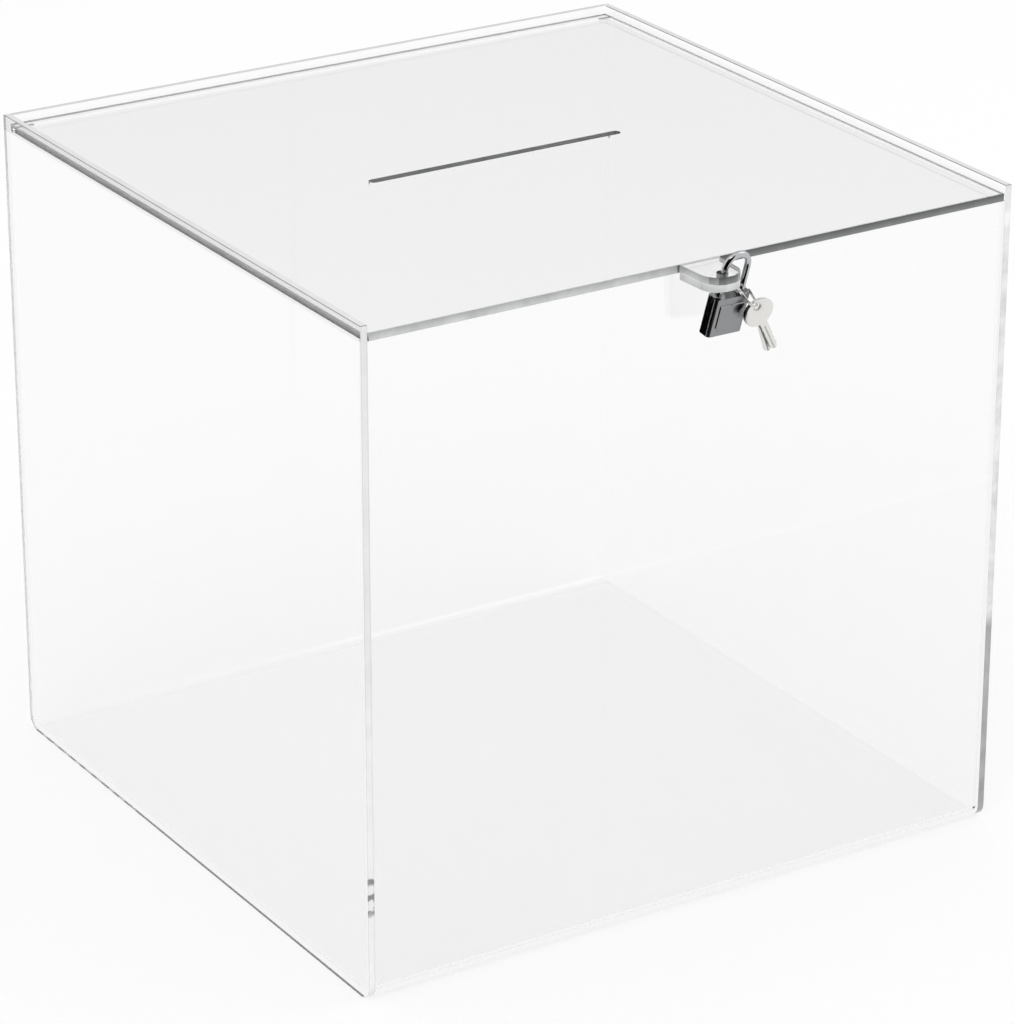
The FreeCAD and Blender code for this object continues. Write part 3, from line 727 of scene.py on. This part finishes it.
# Works of the lock: turned brass plug and pins, spring wire and steel pins, all inside the case. Only the
# foot of the plug with its keyway shows, from below. Turned brass gives a warm, half bright gold. The
# tool's marks are too fine to show, so they are drawn 0.8 mm wide.
TOOL_MARK = 0.000833
turned_brass = metal_finish("turned_brass", "#C9A85C", TOOL_MARK, 2.0, 0.2, 0.38)
for node_name in ("lock_plug", "key_pins", "driver_pins"):
    dress(node_name, turned_brass)
for node_name in ("locking_bolt", "pin_springs", "shackle_spring", "plug_clip"):
    dress(node_name, drawn_steel)


# Shackle retainer: a length of drawn steel wire pressed into the case beside the neck of the long leg. The
# foot of the leg comes to rest under it when the shackle is up.
RETAINER_R = 0.00048
RETAINER_LONG = 0.0039
RETAINER_CORNER = 0.00008
RETAINER_MIDDLE = (0.01348, 0.0020, -0.0053)
retainer_place = lock_place @ Matrix.Translation(RETAINER_MIDDLE) @ Matrix.Rotation(math.pi / 2, 4, "X")
cross_pin = cut_wire("shackle_cross_pin", RETAINER_R, RETAINER_LONG, RETAINER_CORNER, retainer_place)
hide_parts("shackle_retainer")
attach(cross_pin, "padlock")


# Studio: a wide pale floor of paper under a pale room, with soft light from above. The paper is matt and
# evenly white, and keeps the object's soft shadow.
FLOOR_HALF = 12.0
FLOOR_UNDER_FEET = 0.0004
PAPER_GLOW_SHARE = 0.8


def seen_by_eye(tree):
    # Whether a ray comes from the camera, by a mirror or through clear sheet, and not from a lit surface.
    path = add_node(tree, "ShaderNodeLightPath")
    seen = add_node(tree, "ShaderNodeMath", {"operation": "MAXIMUM"}, {
        0: path.outputs["Is Camera Ray"], 1: path.outputs["Is Glossy Ray"]
    })
    seen_through = add_node(tree, "ShaderNodeMath", {"operation": "MAXIMUM"}, {
        0: seen.outputs[0], 1: path.outputs["Is Transmission Ray"]
    })
    return seen_through.outputs[0]


floor_finish, tree = new_finish("studio_paper")
paper = add_node(tree, "ShaderNodeBsdfDiffuse", {"Color": linear("#FAFAFA")})
paper_glow = add_node(tree, "ShaderNodeEmission", {"Color": (1, 1, 1, 1), "Strength": 1.0})
glow_share = add_node(tree, "ShaderNodeMath", {"operation": "MULTIPLY"}, {0: seen_by_eye(tree)})
glow_share.inputs[1].default_value = PAPER_GLOW_SHARE
paper_mix = add_node(tree, "ShaderNodeMixShader", {}, {
    0: glow_share.outputs[0], 1: paper.outputs[0], 2: paper_glow.outputs[0]
})
add_node(tree, "ShaderNodeOutputMaterial", {}, {"Surface": paper_mix.outputs[0]})


def flat_card(half_x, half_y, place):
    bm = bmesh.new()
    bmesh.ops.create_grid(bm, x_segments=1, y_segments=1, size=1.0)
    bmesh.ops.scale(bm, vec=(half_x, half_y, 1), verts=bm.verts)
    bmesh.ops.transform(bm, matrix=place, verts=bm.verts)
    return bm


floor_place = Matrix.Translation((0, 0, -FLOOR_UNDER_FEET))
finish_piece("floor", flat_card(FLOOR_HALF, FLOOR_HALF, floor_place), [floor_finish])

room = bpy.data.worlds.new("pale_room")
bpy.context.scene.world = room
room.use_nodes = True
tree = room.node_tree
tree.nodes.clear()
lit = add_node(tree, "ShaderNodeBackground", {"Color": (1, 1, 1, 1), "Strength": 0.9})
white = add_node(tree, "ShaderNodeBackground", {"Color": (1, 1, 1, 1), "Strength": 1.0})
room_mix = add_node(tree, "ShaderNodeMixShader", {}, {
    0: seen_by_eye(tree), 1: lit.outputs[0], 2: white.outputs[0]
})
add_node(tree, "ShaderNodeOutputWorld", {}, {"Surface": room_mix.outputs[0]})

LAMP_SIZE = 1.6
LAMPS_AIM = Vector((0, 0, 0.2))
for name, place, energy in (("key_light", (-1.4, -1.2, 2.2), 14.0), ("fill_light", (1.8, -0.6, 1.8), 7.0)):
    lamp_data = bpy.data.lights.new(name, "AREA")
    lamp_data.size = LAMP_SIZE
    lamp_data.energy = energy
    lamp = bpy.data.objects.new(name, lamp_data)
    lamp.location = place
    lamp.rotation_euler = (LAMPS_AIM - Vector(place)).to_track_quat("-Z", "Y").to_euler()
    bpy.context.collection.objects.link(lamp)

# A black card bent round the padlock on the camera's side gives bright metal its dark core, and a small
# flag beside it darkens the side of the case. The sheet's own mirror faces see neither.
CARD_CENTRE = Vector((0, -0.21, 0))
CARD_R = 0.65
CARD_START = math.radians(-185)
CARD_ARC = math.radians(108)
CARD_HIGH = 1.2
CARD_OVER_FLOOR = 0.002
CARD_FLOOR_SHARE = 0.43
card_black, tree = new_finish("black_card")
path = add_node(tree, "ShaderNodeLightPath")
facing = add_node(tree, "ShaderNodeNewGeometry")
open_to = add_node(tree, "ShaderNodeMath", {"operation": "MAXIMUM"}, {
    0: path.outputs["Is Singular Ray"], 1: facing.outputs["Backfacing"]
})
card_shader = add_node(tree, "ShaderNodeBsdfDiffuse", {"Color": linear("#0C0C0C")})
card_open = add_node(tree, "ShaderNodeBsdfTransparent")
card_mix = add_node(tree, "ShaderNodeMixShader", {}, {
    0: open_to.outputs[0], 1: card_shader.outputs[0], 2: card_open.outputs[0]
})
add_node(tree, "ShaderNodeOutputMaterial", {}, {"Surface": card_mix.outputs[0]})


def gloss_only(card):
    card.visible_camera = False
    card.visible_transmission = False
    card.visible_diffuse = False
    card.visible_shadow = False


bm = bmesh.new()
card_start = Vector((math.cos(CARD_START), math.sin(CARD_START), 0)) * CARD_R
card_section = ((CARD_FLOOR_SHARE, CARD_OVER_FLOOR), (1, CARD_OVER_FLOOR), (1, CARD_HIGH))
card_line = [bm.verts.new(card_start * out + CARD_CENTRE + Vector((0, 0, z))) for out, z in card_section]
card_line += [bm.edges.new(card_line[:2]), bm.edges.new(card_line[1:3])]
bmesh.ops.spin(
    bm, geom=card_line, axis=(0, 0, 1), cent=CARD_CENTRE, angle=CARD_ARC, steps=24, use_merge=False
)
bmesh.ops.recalc_face_normals(bm, faces=bm.faces)
wall_face = max(bm.faces, key=lambda face: face.calc_center_median().z)
card_middle = CARD_CENTRE + Vector((0, 0, CARD_HIGH / 2))
if wall_face.normal.dot(wall_face.calc_center_median() - card_middle) > 0:
    bmesh.ops.reverse_faces(bm, faces=bm.faces)
gloss_only(finish_piece("card", bm, [card_black]))

FLAG_HALF = 0.022
FLAG_MIDDLE = (-0.030, -0.1958, 0.333)
flag_place = Matrix.Translation(FLAG_MIDDLE) @ Matrix.Rotation(math.pi / 2, 4, "X")
gloss_only(finish_piece("flag", flat_card(FLAG_HALF, FLAG_HALF, flag_place), [card_black]))

# A matt black strip laid on the paper, which the left panel mirrors as a dark line along the lid's edge.
STRIP_HALF_WIDE = 0.010
STRIP_HALF_LONG = 0.32
STRIP_MIDDLE = (-0.687, 0.93, 0.002)
strip_black, tree = new_finish("black_strip")
strip_shader = add_node(tree, "ShaderNodeBsdfDiffuse", {"Color": linear("#0C0C0C")})
add_node(tree, "ShaderNodeOutputMaterial", {}, {"Surface": strip_shader.outputs[0]})
strip_place = Matrix.Translation(STRIP_MIDDLE)
gloss_only(finish_piece("strip", flat_card(STRIP_HALF_WIDE, STRIP_HALF_LONG, strip_place), [strip_black]))

# A light grey card over the far side of the box, which the lid mirrors as its even pale grey.
CEILING_HALF = 1.6
CEILING_MIDDLE = Vector((1.7, 2.6, 1.75))
CEILING_AIM = Vector((0, 0, 0.37))
ceiling_grey, tree = new_finish("grey_ceiling_card")
ceiling_shader = add_node(tree, "ShaderNodeEmission", {"Color": linear("#B0B0B0"), "Strength": 1.0})
add_node(tree, "ShaderNodeOutputMaterial", {}, {"Surface": ceiling_shader.outputs[0]})
ceiling_turn = (CEILING_AIM - CEILING_MIDDLE).to_track_quat("Z", "Y").to_matrix().to_4x4()
ceiling_place = Matrix.Translation(CEILING_MIDDLE) @ ceiling_turn
gloss_only(finish_piece(
    "ceiling_card", flat_card(CEILING_HALF, CEILING_HALF, ceiling_place), [ceiling_grey]
))


# Camera: where the photograph was taken from, on a long lens.
CAMERA_PLACE = (-1.24618, -1.99804, 1.16541)
AZIMUTH = math.radians(-32.091)
ELEVATION = math.radians(23.100)
camera_data = bpy.data.cameras.new("camera")
camera_data.sensor_width = 36.0
camera_data.lens = 160.764
camera_data.clip_end = 60.0
camera = bpy.data.objects.new("camera", camera_data)
looking = Vector((
    -math.sin(AZIMUTH) * math.cos(ELEVATION), math.cos(AZIMUTH) * math.cos(ELEVATION), -math.sin(ELEVATION)
))
camera.location = CAMERA_PLACE
camera.rotation_euler = looking.to_track_quat("-Z", "Y").to_euler()
bpy.context.collection.objects.link(camera)
bpy.context.scene.camera = camera
bpy.context.scene.view_settings.view_transform = "Standard"
